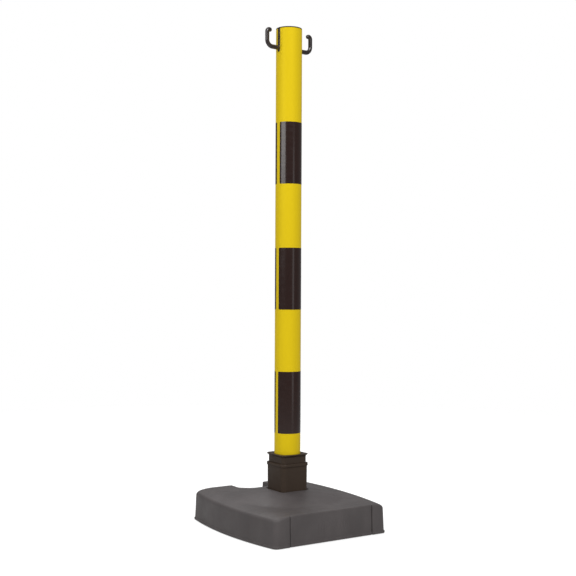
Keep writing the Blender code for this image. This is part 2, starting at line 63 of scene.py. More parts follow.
# Post, cap and hooks
POST_TURN = radians(5)
BAND_SEAMS_DEG = {"band_lower": (180.9, 18.5), "band_middle": (182.1, 19.0), "band_upper": (184.6, 20.0)}
BAND_CORNER = 2 * MM
CAP_THICKNESS = 2 * MM
CAP_SKIRT_DEPTH = 12 * MM
CAP_SKIRT_WALL = 1.8 * MM
ROD_WIDTH = 6.8 * MM
ROD_DEPTH = 8.6 * MM
HOOK_REACH = 52.6 * MM
HOOK_BEND_RADIUS = 12 * MM
HOOK_CURL_RADIUS = 4.4 * MM
HOOK_CURL_TURN = 112
HOOK_TIP_BELOW_TOP = 3.6 * MM
WEB_THICKNESS = 6.2 * MM
SLOT_WIDTH = 7.4 * MM
BAR_ABOVE_SLOT_END = 8 * MM

# Adapter and sleeve
NECK_SIZE = 55 * MM
NECK_CORNER_RADIUS = 7 * MM
LEDGE_HEIGHT = 4 * MM
LEDGE_WIDTH = 4 * MM
SLEEVE_SIZE = 60 * MM
SLEEVE_WALL = 2.1 * MM
SLEEVE_CORNER_RADIUS = 9.5 * MM
SLEEVE_LIP = 1.3 * MM
SLEEVE_LIP_HEIGHT = 5.6 * MM
SLEEVE_TAPER = 0.3 * MM

# Base
HALF_WIDTH = SHELL_HIGH.x
HALF_LENGTH = SHELL_HIGH.y
SHELL_BOTTOM = SHELL_LOW.z
SIDE_BULGE = 16 * MM
FLOOR_CORNER_RADIUS = 10 * MM
TOP_CORNER_RADIUS = 11 * MM
CROWN_HEIGHT = 74.8 * MM
DOME_SLOPE = 0.235
RIM_HEIGHT = 57.6 * MM
RIM_RISE = 1.6 * MM
DOME_BLEND = 0.5 * MM
SHOULDER_WIDTH = 32 * MM
SHOULDER_DROP = 9 * MM
EDGE_FILLET = 2.4 * MM  # at the front and the rear
SIDE_FILLET = 7.5 * MM  # round the corners and along the bulged sides
FILLET_CHANGE_START = 80 * MM  # from the middle, where the one starts to turn into the other
FILLET_CHANGE_SPAN = 45 * MM
FLOOR_LIP = 1.2 * MM
FLOOR_LIP_HEIGHT = 4 * MM
WALL_DRAFT = 1.2 * MM
WALL_TOP_INSET = FLOOR_LIP + WALL_DRAFT
WALL_START = SHELL_BOTTOM + 5.2 * MM
SHELL_WALL = 3 * MM
NOTCH_HALF_WIDTH = 34.1 * MM
NOTCH_DEPTH = 29 * MM
NOTCH_SCOOP = 18 * MM
NOTCH_RADIUS = (NOTCH_HALF_WIDTH**2 + NOTCH_SCOOP**2) / (2 * NOTCH_SCOOP)
NOTCH_CENTER_Y = HALF_LENGTH - NOTCH_DEPTH - NOTCH_SCOOP + NOTCH_RADIUS
NOTCH_CORNER = 1 * MM
PANEL_HALF_WIDTH = 90.5 * MM
PANEL_DEPTH = 1 * MM
HOLE_EDGE = ((0, 4 * MM), (1.7 * MM, 2.6 * MM), (2.4 * MM, 1.2 * MM), (2.8 * MM, 0.3 * MM), (3.6 * MM, 0))
GROOVE_WIDTH = 2.4 * MM
GROOVE_DEPTH = 2.6 * MM
RIB_PITCH = 6 * MM
RIB_HEIGHT = 0.6 * MM
RIB_FADE = 3 * MM  # how far from their ends the ribs reach full height
RIB_FIELD = ((-34 * MM, 40 * MM), (18 * MM, 44 * MM))  # across and up the panel

# How finely round shapes are cut
ROUND_STEPS = 160
ROD_STEPS = 28
SQUARE_STEPS = 12
CORNER_STEPS = 14
SCOOP_STEPS = 32
PANEL_STEPS = 174
OUTER_NET = 4 * MM
INNER_NET = 8 * MM

# Colours of the finishes, as linear light
BASE_GREY = (0.081, 0.071, 0.071)
SOCKET_BLACK = (0.052, 0.036, 0.026)
HOOK_BLACK = (0.020, 0.013, 0.012)
POST_YELLOW = (0.76, 0.55, 0.011)
BAND_BLACK = (0.020, 0.007, 0.005)
RUBBER_BLACK = (0.02, 0.019, 0.018)
CONCRETE_GREY = (0.3, 0.29, 0.27)
ZINC_GREY = (0.55, 0.55, 0.56)
POST_GLOSS_TINT = (1, 0.8, 0.08)

# Stage: the light grey room, the floor, and (name, place, target, size, radiance) of each soft light
ROOM_RADIANCE = 0.22
FLOOR_RADIUS = 2.4
FLOOR_GREY = 0.58
FLOOR_GLOW = 0.65
FLOOR_FADE_START = 0.35  # as shares of its radius
FLOOR_FADE_END = 0.95
SOFTBOXES = (
    ("overhead", (0.2, 1.4, 2.7), (0, 0, 0.1), (2.4, 2.2), 2.5),
    ("key", (-2.17, -0.37, 1.38), (0, 0, 1.25), (1.6, 1.1), 4),
    ("strip", (0.44, -1.95, 0.5), (0, 0, 0.5), (0.5, 1.0), 0.9),
    ("front", (-0.3, -2.45, 2.45), (0, 0, 0.5), (2.1, 1.2), 7.8),
)

# Camera: which way it looks, from +Y towards +X, where it stands, and its lens
CAMERA_BEARING = radians(33.39)
CAMERA_DISTANCE = 2.0326
CAMERA_HEIGHT = 0.4567
CAMERA_ROLL = 0.0043
CAMERA_LENS = 66.19


# Meshes


def new_piece(name, bm, finish, body, replaced, sharp_deg=40):
    """Makes an object of a mesh, gives it its finish and lets it ride in place of its CAD nodes."""
    bmesh.ops.recalc_face_normals(bm, faces=bm.faces)
    mesh = bpy.data.meshes.new(name)
    bm.to_mesh(mesh)
    bm.free()
    mesh.shade_smooth()
    mesh.set_sharp_from_angle(angle=radians(sharp_deg))
    mesh.materials.append(finish)
    obj = bpy.data.objects.new(name, mesh)
    bpy.context.scene.collection.objects.link(obj)
    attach(obj, body)
    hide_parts(*replaced)
    return obj


def ring_faces(bm, lower, upper):
    for i, corner in enumerate(lower):
        following = (i + 1) % len(lower)
        bm.faces.new((corner, lower[following], upper[following], upper[i]))


def add_rings(bm, rings, closed=False, capped=False):
    """Joins rings of equally many points with faces and returns their vertices."""
    loops = [[bm.verts.new(point) for point in ring] for ring in rings]
    for lower, upper in zip(loops, loops[1:]):
        ring_faces(bm, lower, upper)
    if closed:
        ring_faces(bm, loops[-1], loops[0])
    if capped:
        bm.faces.new(loops[0])
        bm.faces.new(loops[-1])
    return loops


def circle(radius, z, steps=ROUND_STEPS):
    return [(radius * cos(tau * i / steps), radius * sin(tau * i / steps), z) for i in range(steps)]


def arc(center, radius, start_deg, end_deg, steps):
    """Points of an arc in a plane."""
    points = []
    for i in range(steps + 1):
        angle = radians(start_deg + (end_deg - start_deg) * i / steps)
        points.append((center[0] + radius * cos(angle), center[1] + radius * sin(angle)))
    return points


def rounded_corner(before, corner, after, radius, steps):
    """An arc of the given radius in place of the corner between two straight lines."""
    corner = Vector(corner)
    to_before = (Vector(before) - corner).normalized()
    to_after = (Vector(after) - corner).normalized()
    half_angle = to_before.angle(to_after) / 2
    center = corner + (to_before + to_after).normalized() * (radius / sin(half_angle))
    start = corner + to_before * (radius / tan(half_angle)) - center
    end = corner + to_after * (radius / tan(half_angle)) - center
    turn = start.angle_signed(end)
    return [tuple(center + Matrix.Rotation(-turn * i / steps, 2) @ start) for i in range(steps + 1)]


def rounded_outline(corners):
    """A closed outline from (point, radius, steps) corners. A corner of no radius is kept as it is."""
    outline = []
    for i, (point, radius, steps) in enumerate(corners):
        if radius:
            before, after = corners[i - 1][0], corners[(i + 1) % len(corners)][0]
            outline += rounded_corner(before, point, after, radius, steps)
        else:
            outline.append(tuple(point))
    return outline


def plain(points):
    """Outline corners of no radius."""
    return [(point, 0, 0) for point in points]


def between(start, end, steps):
    """Points that divide a line, without its ends."""
    start, end = Vector(start), Vector(end)
    return [tuple(start.lerp(end, i / steps)) for i in range(1, steps)]


def rounded_square(size, radius, z):
    half = size / 2
    places = ((half, -half), (half, half), (-half, half), (-half, -half))
    corners = [(place, radius, SQUARE_STEPS) for place in places]
    return [(x, y, z) for x, y in rounded_outline(corners)]


def inside(outline, x, y):
    """Whether a point lies inside a closed outline."""
    found = False
    for (x1, y1, *_), (x2, y2, *_) in zip(outline, outline[1:] + outline[:1]):
        if (y1 > y) != (y2 > y) and x < x1 + (y - y1) / (y2 - y1) * (x2 - x1):
            found = not found
    return found


def apply_modifiers(obj, sharp_deg=40):
    """Bakes an object's modifiers into its mesh, which keeps one material."""
    finish = obj.data.materials[0]
    bpy.context.view_layer.update()
    baked = bpy.data.meshes.new_from_object(obj.evaluated_get(bpy.context.evaluated_depsgraph_get()))
    obj.modifiers.clear()
    obj.data = baked
    baked.materials.clear()
    baked.materials.append(finish)
    baked.shade_smooth()
    baked.set_sharp_from_angle(angle=radians(sharp_deg))


def cut_away(obj, cutter_mesh):
    """Cuts one mesh out of an object for good."""
    bmesh.ops.recalc_face_normals(cutter_mesh, faces=cutter_mesh.faces)
    mesh = bpy.data.meshes.new("cutter")
    cutter_mesh.to_mesh(mesh)
    cutter_mesh.free()
    cutter = bpy.data.objects.new("cutter", mesh)
    bpy.context.scene.collection.objects.link(cutter)
    modifier = obj.modifiers.new("cut", "BOOLEAN")
    modifier.operation = "DIFFERENCE"
    modifier.solver = "EXACT"
    modifier.object = cutter
    apply_modifiers(obj)
    bpy.data.objects.remove(cutter)


# Base shell


def side_x(y, inset):
    """Half the base's width at y, between its bulged sides."""
    return HALF_WIDTH - inset - SIDE_BULGE * (y / (HALF_LENGTH - inset)) ** 2


def bulged_side(side, inset, steps=48):
    """Points along one bulged side, from front to rear for +1 and from rear to front for -1."""
    reach = HALF_LENGTH - inset - TOP_CORNER_RADIUS
    ys = [side * (2 * i / steps - 1) * reach for i in range(steps + 1)]
    return plain((side * side_x(y, inset), y) for y in ys)


def notch_corners(inset):
    """The hand notch, from its right end to its left end."""
    rear, half = HALF_LENGTH - inset, NOTCH_HALF_WIDTH + inset
    scoop = []
    for i in range(SCOOP_STEPS + 1):
        x = half * (1 - 2 * i / SCOOP_STEPS)
        scoop.append((x, NOTCH_CENTER_Y - sqrt((NOTCH_RADIUS + inset) ** 2 - x**2)))
    right_wall = between((half, rear), scoop[0], 4)
    left_wall = between(scoop[-1], (-half, rear), 4)
    corners = [((half, rear), NOTCH_CORNER, 6)]
    corners += plain(right_wall + scoop + left_wall)
    corners.append(((-half, rear), NOTCH_CORNER, 6))
    return corners


def panel_corners(inset):
    """The sunk panel in the front side, from left to right, with a groove at each end."""
    front = -HALF_LENGTH + inset
    panel_y, groove_y = front + PANEL_DEPTH, front + GROOVE_DEPTH
    outer, inner = PANEL_HALF_WIDTH + GROOVE_WIDTH / 2, PANEL_HALF_WIDTH - GROOVE_WIDTH / 2
    bevel = 0.3 * MM
    left = [(-outer, front), (-outer + bevel, groove_y), (-inner - bevel, groove_y), (-inner, panel_y)]
    corners = [(point, bevel, 3) for point in left]
    corners += plain(between((-inner, panel_y), (inner, panel_y), PANEL_STEPS)[1:-1])
    corners += [((-x, y), bevel, 3) for x, y in reversed(left)]
    return corners


def shell_outline(inset, corner_radius):
    """The shell's plan, moved inwards by inset, with the hand notch at the rear and the panel in front."""
    rear, front = HALF_LENGTH - inset, -HALF_LENGTH + inset
    corner_x = side_x(rear, inset)
    notch, panel = notch_corners(inset), panel_corners(inset)
    corners = bulged_side(1, inset)
    corners.append(((corner_x, rear), corner_radius, CORNER_STEPS))
    corners += plain(between((corner_x, rear), notch[0][0], 12)[1:-1])
    corners += notch
    corners += plain(between(notch[-1][0], (-corner_x, rear), 12)[1:-1])
    corners.append(((-corner_x, rear), corner_radius, CORNER_STEPS))
    corners += bulged_side(-1, inset)
    corners.append(((-corner_x, front), corner_radius, CORNER_STEPS))
    corners += plain(between((-corner_x, front), panel[0][0], 6)[2:-1])
    corners += panel
    corners += plain(between(panel[-1][0], (corner_x, front), 6)[1:-2])
    corners.append(((corner_x, front), corner_radius, CORNER_STEPS))
    return rounded_outline(corners)


def top_height(x, y):
    """Height of the base's top: a cone round the post, a flatter rim, and shoulders at the bulged sides."""
    dome = CROWN_HEIGHT - DOME_SLOPE * (hypot(x, y) - SLEEVE_SIZE / 2)
    rim = RIM_HEIGHT + RIM_RISE * y / HALF_LENGTH
    surface = (dome + rim + sqrt((dome - rim) ** 2 + DOME_BLEND**2)) / 2
    past = abs(x) - (side_x(y, WALL_TOP_INSET) - SHOULDER_WIDTH)
    share = min(max(past / SHOULDER_WIDTH, 0), 1)
    return surface - SHOULDER_DROP * (1 - sqrt(1 - share**2))


def rib_relief(x, y, z):
    """How far the plain grip ribs stand out of the front panel at a place."""
    (left, right), (low, high) = RIB_FIELD
    if y > 1 * MM - HALF_LENGTH + WALL_TOP_INSET + PANEL_DEPTH or not left < x < right or not low < z < high:
        return 0
    fade = min(1, (z - low) / RIB_FADE, (high - z) / RIB_FADE)
    return RIB_HEIGHT * fade * max(0, cos(tau * (x - left) / RIB_PITCH - pi)) ** 2


def fillet(x):
    """The fillet's radius between wall and top at x: crisp in front and at the rear, softer elsewhere."""
    share = min(max((abs(x) - FILLET_CHANGE_START) / FILLET_CHANGE_SPAN, 0), 1)
    return EDGE_FILLET + (SIDE_FILLET - EDGE_FILLET) * share**2 * (3 - 2 * share)


def top_outline(share, step=0, shrink=0):
    """The plan at a share of the fillet inwards from the wall's top, and a step further in."""
    wall = shell_outline(WALL_TOP_INSET + shrink, TOP_CORNER_RADIUS)
    further = shell_outline(WALL_TOP_INSET + shrink + SIDE_FILLET, TOP_CORNER_RADIUS)
    outline = []
    for start, end in zip(wall, further):
        along = (share * fillet(start[0]) + step) / SIDE_FILLET
        outline.append(tuple(Vector(start).lerp(Vector(end), along)))
    return outline


def fillet_drops(shrink):
    """How high the top's surface and how large the fillet is at each point of the plan."""
    wall = shell_outline(WALL_TOP_INSET, TOP_CORNER_RADIUS)
    edge = top_outline(1)
    return [(top_height(*over) - shrink, fillet(start[0])) for start, over in zip(wall, edge)]


def wall_rings(shrink):
    """The shell's side wall from where it starts up to its edge fillet."""
    steps = 24 if not shrink else 4
    rings = []
    for step in range(steps + 1):
        share = step / steps
        inset = FLOOR_LIP + WALL_DRAFT * share + shrink
        corner = FLOOR_CORNER_RADIUS + (TOP_CORNER_RADIUS - FLOOR_CORNER_RADIUS) * share
        ring = []
        for (x, y), (top, radius) in zip(shell_outline(inset, corner), fillet_drops(shrink)):
            z = WALL_START + (top - radius - WALL_START) * share
            relief = 0 if shrink else rib_relief(x, y, z)
            ring.append((x, y - relief, z))
        rings.append(ring)
    return rings


def lip_rings():
    """The lip along the floor, from below to where the wall starts."""
    low, high = SHELL_BOTTOM, SHELL_BOTTOM + FLOOR_LIP_HEIGHT
    sections = [(0.5 * MM, low), (0.1 * MM, low + 0.3 * MM), (0, low + 0.8 * MM), (0, high - 0.8 * MM)]
    sections += [(0.15 * MM, high - 0.3 * MM), (0.5 * MM, high), (0.95 * MM, high + 0.1 * MM)]
    return [[(x, y, z) for x, y in shell_outline(inset, FLOOR_CORNER_RADIUS)] for inset, z in sections]


def edge_rings(shrink):
    """The fillet between wall and top, and the first rings of the top."""
    rings = []
    for angle in (15, 30, 45, 60, 75, 90):
        outline = top_outline(1 - cos(radians(angle)), 0, shrink)
        drop = 1 - sin(radians(angle))
        heights = [top - radius * drop for top, radius in fillet_drops(shrink)]
        rings.append([(x, y, z) for (x, y), z in zip(outline, heights)])
    for step in (1 * MM, 2.2 * MM, 3.6 * MM):
        ring, over_ring = top_outline(1, step, shrink), top_outline(1, step)
        rings.append([(x, y, top_height(*over) - shrink) for (x, y), over in zip(ring, over_ring)])
    return rings


def hole_rings(shrink):
    """The rounded rim of the sleeve's hole, from below up to the top's surface."""
    hole = SLEEVE_SIZE + 2 * TOUCH_GAP
    rings = []
    for growth, drop in HOLE_EDGE:
        ring = rounded_square(hole + 2 * growth, SLEEVE_CORNER_RADIUS + growth, 0)
        rings.append([(x, y, top_height(x, y) - drop - shrink) for x, y, _ in ring])
    return rings


def fill_between(bm, outer, inner, shrink, spacing):
    """Fills the top between two rings with an even net of triangles at the top's height."""
    outer_points = [tuple(vert.co) for vert in outer]
    inner_points = [tuple(vert.co) for vert in inner]
    points = [Vector(point[:2]) for point in outer_points + inner_points]
    edges = [(i, (i + 1) % len(outer)) for i in range(len(outer))]
    edges += [(len(outer) + i, len(outer) + (i + 1) % len(inner)) for i in range(len(inner))]
    room = 0.6 * spacing
    hole_reach = SLEEVE_SIZE / 2 + 4 * MM + room
    rows, columns = int(HALF_LENGTH / spacing), int(HALF_WIDTH / spacing)
    for row in range(-rows, rows + 1):
        for column in range(-columns, columns + 1):
            x, y = (column + row % 2 / 2) * spacing, row * spacing
            around = ((x + room, y), (x - room, y), (x, y + room), (x, y - room))
            if max(abs(x), abs(y)) > hole_reach and all(inside(outer_points, *place) for place in around):
                points.append(Vector((x, y)))
    places, _, faces, origins, _, _ = delaunay_2d_cdt(points, edges, [], 0, 1e-7)
    given = list(outer) + list(inner)
    verts = []
    for place, origin in zip(places, origins):
        known = [i for i in origin if i < len(given)]
        if known:
            verts.append(given[known[0]])
        else:
            verts.append(bm.verts.new((place.x, place.y, top_height(place.x, place.y) - shrink)))
    for face in faces:
        middle = sum((places[i] for i in face), Vector((0, 0))) / len(face)
        if inside(outer_points, *middle) and not inside(inner_points, *middle):
            bm.faces.new([verts[i] for i in face])


def shell_skin(bm, shrink):
    """One skin of the shell. Returns its ring at the floor and its ring in the sleeve's hole."""
    rings = wall_rings(shrink) + edge_rings(shrink)
    if shrink:
        first = rings[0]
        rings.insert(0, [(x, y, SHELL_BOTTOM) for x, y, _ in first])
    else:
        rings = lip_rings() + rings
    loops = add_rings(bm, rings)
    hole = add_rings(bm, hole_rings(shrink))
    fill_between(bm, loops[-1], hole[-1], shrink, INNER_NET if shrink else OUTER_NET)
    return loops[0], hole[0]


def make_base_shell(finish):
    bm = bmesh.new()
    outer_floor, outer_hole = shell_skin(bm, 0)
    inner_floor, inner_hole = shell_skin(bm, SHELL_WALL)
    ring_faces(bm, outer_floor, inner_floor)
    ring_faces(bm, outer_hole, inner_hole)
    return new_piece("base_shell_skin", bm, finish, "base", ["base_shell"], 50)


# Socket sleeve and adapter


def square_rings(sections):
    """Rounded squares from (size, change of the corner radius, height) sections."""
    return [rounded_square(size, SLEEVE_CORNER_RADIUS + more, z) for size, more, z in sections]


def make_socket_sleeve(finish):
    top, bottom = SLEEVE_HIGH.z, SLEEVE_LOW.z
    lip_low = top - SLEEVE_LIP_HEIGHT
    anchor = 2 * SLEEVE_HIGH.x
    socket = SLEEVE_SIZE - 2 * SLEEVE_WALL
    slim = SLEEVE_SIZE - 2 * SLEEVE_TAPER
    lip = SLEEVE_SIZE + 2 * SLEEVE_LIP
    sections = [
        (anchor - 1 * MM, 0, bottom),
        (anchor, 0, bottom + 0.5 * MM),
        (anchor, 0, bottom + 3.5 * MM),
        (anchor - 1 * MM, 0, bottom + 4 * MM),
        (slim + 1.5 * MM, 0, bottom + 4 * MM),
        (slim, 0, bottom + 5 * MM),
        (slim, 0, CROWN_HEIGHT),
        (SLEEVE_SIZE - 0.2 * MM, 0, lip_low - 2.6 * MM),
        (SLEEVE_SIZE, 0, lip_low - 0.3 * MM),
        (SLEEVE_SIZE + 0.3 * MM, 0.15 * MM, lip_low),
        (lip - 0.8 * MM, SLEEVE_LIP - 0.4 * MM, lip_low + 0.1 * MM),
        (lip - 0.2 * MM, SLEEVE_LIP - 0.1 * MM, lip_low + 0.4 * MM),
        (lip, SLEEVE_LIP, lip_low + 0.9 * MM),
        (lip, SLEEVE_LIP, top - 1.2 * MM),
        (lip - 0.3 * MM, SLEEVE_LIP - 0.15 * MM, top - 0.5 * MM),
        (lip - 1 * MM, SLEEVE_LIP - 0.5 * MM, top - 0.1 * MM),
        (lip - 1.8 * MM, SLEEVE_LIP - 0.9 * MM, top),
        (socket + 1.2 * MM, -SLEEVE_WALL + 0.6 * MM, top),
        (socket + 0.4 * MM, -SLEEVE_WALL + 0.2 * MM, top - 0.3 * MM),
        (socket, -SLEEVE_WALL, top - 1 * MM),
        (socket, -SLEEVE_WALL, bottom + 5 * MM),
        (socket - 2 * MM, -SLEEVE_WALL - 1 * MM, bottom + 4 * MM),
    ]
    bm = bmesh.new()
    add_rings(bm, square_rings(sections), capped=True)
    return new_piece("socket_sleeve_skin", bm, finish, "base", ["socket_sleeve"], 30)


def round_ring(like, radius, z):
    """A ring of one radius with points in another ring's directions. It is flat where those lie far apart."""
    return [(x / hypot(x, y) * radius, y / hypot(x, y) * radius, z) for x, y, _ in like]


def make_post_adapter(finish):
    top, bottom = ADAPTER_HIGH.z, ADAPTER_LOW.z
    flange = ADAPTER_HIGH.x
    bore = TUBE_RADIUS + TOUCH_GAP
    ledge = bottom + LEDGE_HEIGHT
    change = NECK_CORNER_RADIUS - SLEEVE_CORNER_RADIUS
    rings = square_rings(
        [
            (NECK_SIZE - 2 * MM, change - 1 * MM, bottom),
            (NECK_SIZE, change, bottom + 1 * MM),
            (NECK_SIZE, change, top - 6 * MM),
            (NECK_SIZE + 0.4 * MM, change + 0.2 * MM, top - 4.6 * MM),
            (NECK_SIZE + 2 * MM, change + 1 * MM, top - 3.2 * MM),
        ]
    )
    profile = [
        (flange - 1.6 * MM, top - 2.2 * MM),
        (flange - 0.5 * MM, top - 2 * MM),
        (flange, top - 1.4 * MM),
        (flange, top - 0.7 * MM),
        (flange - 0.3 * MM, top - 0.25 * MM),
        (flange - 0.9 * MM, top),
        (flange - 2.2 * MM, top - 0.1 * MM),
        (flange - 3.2 * MM, top - 0.5 * MM),
        (bore + 2 * MM, top - 0.5 * MM),
        (bore + 0.6 * MM, top - 0.7 * MM),
        (bore, top - 1.4 * MM),
        (bore, ledge),
        (bore - LEDGE_WIDTH, ledge),
        (bore - LEDGE_WIDTH, bottom),
    ]
    rings += [round_ring(rings[0], radius, z) for radius, z in profile]
    bm = bmesh.new()
    add_rings(bm, rings, closed=True)
    return new_piece("post_adapter_skin", bm, finish, "adapter", ["post_adapter"], 35)


# Post


def web_outline(thickness, bottom, top):
    """A (y, z) outline of a plate that stands on a round lower edge."""
    radius = thickness / 2
    return [(-radius, top)] + arc((0, bottom + radius), radius, 180, 360, 16) + [(radius, top)]


def web_rings(thickness, bottom, top, half_span):
    return [[(x, y, z) for y, z in web_outline(thickness, bottom, top)] for x in (-half_span, half_span)]


def turn_post(bm):
    """Turns a mesh about the post's axis, from X to where the hooks point."""
    bmesh.ops.rotate(bm, cent=(0, 0, 0), matrix=Matrix.Rotation(POST_TURN, 3, "Z"), verts=bm.verts)
    return bm


def make_post_tube(finish):
    low, high = TUBE_LOW.z, TUBE_HIGH.z
    edge = 0.35 * MM
    profile = [
        (TUBE_RADIUS - edge, high),
        (TUBE_RADIUS, high - edge),
        (TUBE_RADIUS, low + edge),
        (TUBE_RADIUS - edge, low),
        (TUBE_BORE_RADIUS + edge, low),
        (TUBE_BORE_RADIUS, low + edge),
        (TUBE_BORE_RADIUS, high - edge),
        (TUBE_BORE_RADIUS + edge, high),
    ]
    bm = bmesh.new()
    add_rings(bm, [circle(radius, z) for radius, z in profile], closed=True)
    tube = new_piece("post_tube_skin", bm, finish, "post", ["post_tube"])
    slots = bmesh.new()
    rings = web_rings(SLOT_WIDTH, HOOK_LOW.z - TOUCH_GAP, TOTAL_HEIGHT + 20 * MM, 2 * TUBE_RADIUS)
    add_rings(slots, rings, capped=True)
    cut_away(tube, turn_post(slots))


def make_band(node, finish, steps=150):
    """A thin film round the tube that stays open along its seam and has round corners there."""
    low, high = (corner.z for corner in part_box(node))
    middle, width = (radians(value) for value in BAND_SEAMS_DEG[node])
    inner, outer = TUBE_RADIUS + 0.03 * MM, TUBE_RADIUS + 0.18 * MM
    span, corner_span = tau - width, BAND_CORNER / TUBE_RADIUS
    ends = [(corner_span * s, BAND_CORNER * (1 - sqrt(1 - (1 - s) ** 2))) for s in (0, 0.05, 0.2, 0.5, 1)]
    columns = ends + [(corner_span + (span - 2 * corner_span) * i / steps, 0) for i in range(1, steps)]
    columns += [(span - along, trim) for along, trim in reversed(ends)]
    rings = []
    for along, trim in columns:
        angle = middle + width / 2 + along
        section = ((inner, low + trim), (outer, low + trim), (outer, high - trim), (inner, high - trim))
        rings.append([(r * cos(angle), r * sin(angle), z) for r, z in section])
    bm = bmesh.new()
    add_rings(bm, rings, capped=True)
    return new_piece(node + "_film", bm, finish, "post", [node])


# Hooks and cap


def hook_path(side):
    """(x, z, radius) along one hook's rod: out of the web, up its arm and round its curled tip."""
    radius = ROD_DEPTH / 2
    bar_z = HOOK_LOW.z - TOUCH_GAP + BAR_ABOVE_SLOT_END
    arm_top = TOTAL_HEIGHT - HOOK_TIP_BELOW_TOP - radius - HOOK_CURL_RADIUS
    path = [(x * MM, bar_z, radius) for x in (10, 20, 28)]
    bend = arc((HOOK_REACH - HOOK_BEND_RADIUS, bar_z + HOOK_BEND_RADIUS), HOOK_BEND_RADIUS, -90, 0, 18)
    curl = arc((HOOK_REACH - HOOK_CURL_RADIUS, arm_top), HOOK_CURL_RADIUS, 0, HOOK_CURL_TURN, 14)
    path += [(x, z, radius) for x, z in bend + curl]
    end_x, end_z, _ = path[-1]
    heading = radians(HOOK_CURL_TURN) + pi / 2
    for angle_deg in (15, 30, 45, 58, 70, 80, 86):
        ahead = radius * sin(radians(angle_deg))
        shrunk = radius * cos(radians(angle_deg))
        path.append((end_x + ahead * cos(heading), end_z + ahead * sin(heading), shrunk))
    return [(side * x, z, r) for x, z, r in path]


def add_rod(bm, path):
    """A slightly flattened rod along a path in the XZ plane."""
    rings = []
    for i, (x, z, radius) in enumerate(path):
        before, after = path[max(i - 1, 0)], path[min(i + 1, len(path) - 1)]
        run, rise = after[0] - before[0], after[1] - before[1]
        length = hypot(run, rise)
        ring = []
        for step in range(ROD_STEPS):
            angle = tau * step / ROD_STEPS
            shift = radius * cos(angle)
            y = ROD_WIDTH / ROD_DEPTH * radius * sin(angle)
            ring.append((x - rise / length * shift, y, z + run / length * shift))
        rings.append(ring)
    add_rings(bm, rings, capped=True)


def make_hook_insert(finish):
    bm = bmesh.new()
    add_rings(bm, web_rings(WEB_THICKNESS, HOOK_LOW.z, HOOK_HIGH.z, TUBE_RADIUS - TOUCH_GAP), capped=True)
    for side in (-1, 1):
        add_rod(bm, hook_path(side))
    insert = new_piece("hook_insert_skin", turn_post(bm), finish, "hooks", ["hook_insert"])
    remesh = insert.modifiers.new("remesh", "REMESH")
    remesh.mode = "VOXEL"
    remesh.voxel_size = 0.4 * MM
    soften = insert.modifiers.new("soften", "SMOOTH")
    soften.factor = 0.5
    soften.iterations = 5
    apply_modifiers(insert, 180)


def make_top_cap(finish):
    """The disc over the tube's end, with a skirt inside the tube that leaves room for the hooks' web."""
    top, bottom = TOTAL_HEIGHT, TOTAL_HEIGHT - CAP_THICKNESS
    skirt, skirt_low = TUBE_BORE_RADIUS - SLIDE_GAP, TUBE_HIGH.z - CAP_SKIRT_DEPTH
    bore = skirt - CAP_SKIRT_WALL
    profile = [
        (TUBE_RADIUS / 4, top),
        (TUBE_RADIUS - 2.2 * MM, top),
        (TUBE_RADIUS - 0.8 * MM, top - 0.1 * MM),
        (TUBE_RADIUS - 0.25 * MM, top - 0.35 * MM),
        (TUBE_RADIUS, top - 0.9 * MM),
        (TUBE_RADIUS, bottom + 0.3 * MM),
        (TUBE_RADIUS - 0.3 * MM, bottom),
        (skirt + 0.2 * MM, bottom),
        (skirt, bottom - 0.2 * MM),
        (skirt, skirt_low + 1 * MM),
        (skirt - 0.4 * MM, skirt_low),
        (bore + 0.3 * MM, skirt_low),
        (bore, skirt_low + 0.3 * MM),
        (bore, bottom),
        (bore / 4, bottom),
    ]
    bm = bmesh.new()
    add_rings(bm, [circle(radius, z) for radius, z in profile], capped=True)
    cap = new_piece("top_cap_skin", turn_post(bm), finish, "cap", ["top_cap"])
    half = WEB_THICKNESS / 2 + SLIDE_GAP
    low = skirt_low - CAP_SKIRT_DEPTH
    section = ((-half, low), (half, low), (half, bottom), (-half, bottom))
    room = bmesh.new()
    add_rings(room, [[(x, y, z) for y, z in section] for x in (-TUBE_RADIUS, TUBE_RADIUS)], capped=True)
    cut_away(cap, turn_post(room))


# Materials


def new_finish(name, roughness, metallic=0):
    """A new material, with its node tree, its shader and object coordinates."""
    finish = bpy.data.materials.new(name)
    finish.use_nodes = True
    tree = finish.node_tree
    shader = tree.nodes["Principled BSDF"]
    shader.inputs["Roughness"].default_value = roughness
    shader.inputs["Metallic"].default_value = metallic
    place = tree.nodes.new("ShaderNodeTexCoord").outputs["Object"]
    return finish, tree, shader, place


def noise(tree, place, scale, detail=3, stretch=(1, 1, 1)):
    """Noise over the surface. Its stretch divides the scale along each axis."""
    mapping = tree.nodes.new("ShaderNodeMapping")
    mapping.inputs["Scale"].default_value = [1 / share for share in stretch]
    tree.links.new(place, mapping.inputs["Vector"])
    node = tree.nodes.new("ShaderNodeTexNoise")
    node.inputs["Scale"].default_value = scale
    node.inputs["Detail"].default_value = detail
    tree.links.new(mapping.outputs["Vector"], node.inputs["Vector"])
    return node.outputs["Fac"]


def shades(tree, value, shader, color, spread, low=0.3, high=0.7):
    """Colours the shader from darker to lighter than color, as value goes from low to high."""
    ramp = tree.nodes.new("ShaderNodeValToRGB")
    for element, position, change in zip(ramp.color_ramp.elements, (low, high), (-spread, spread)):
        element.position = position
        element.color = (*[channel * (1 + change) for channel in color], 1)
    tree.links.new(value, ramp.inputs["Fac"])
    tree.links.new(ramp.outputs["Color"], shader.inputs["Base Color"])


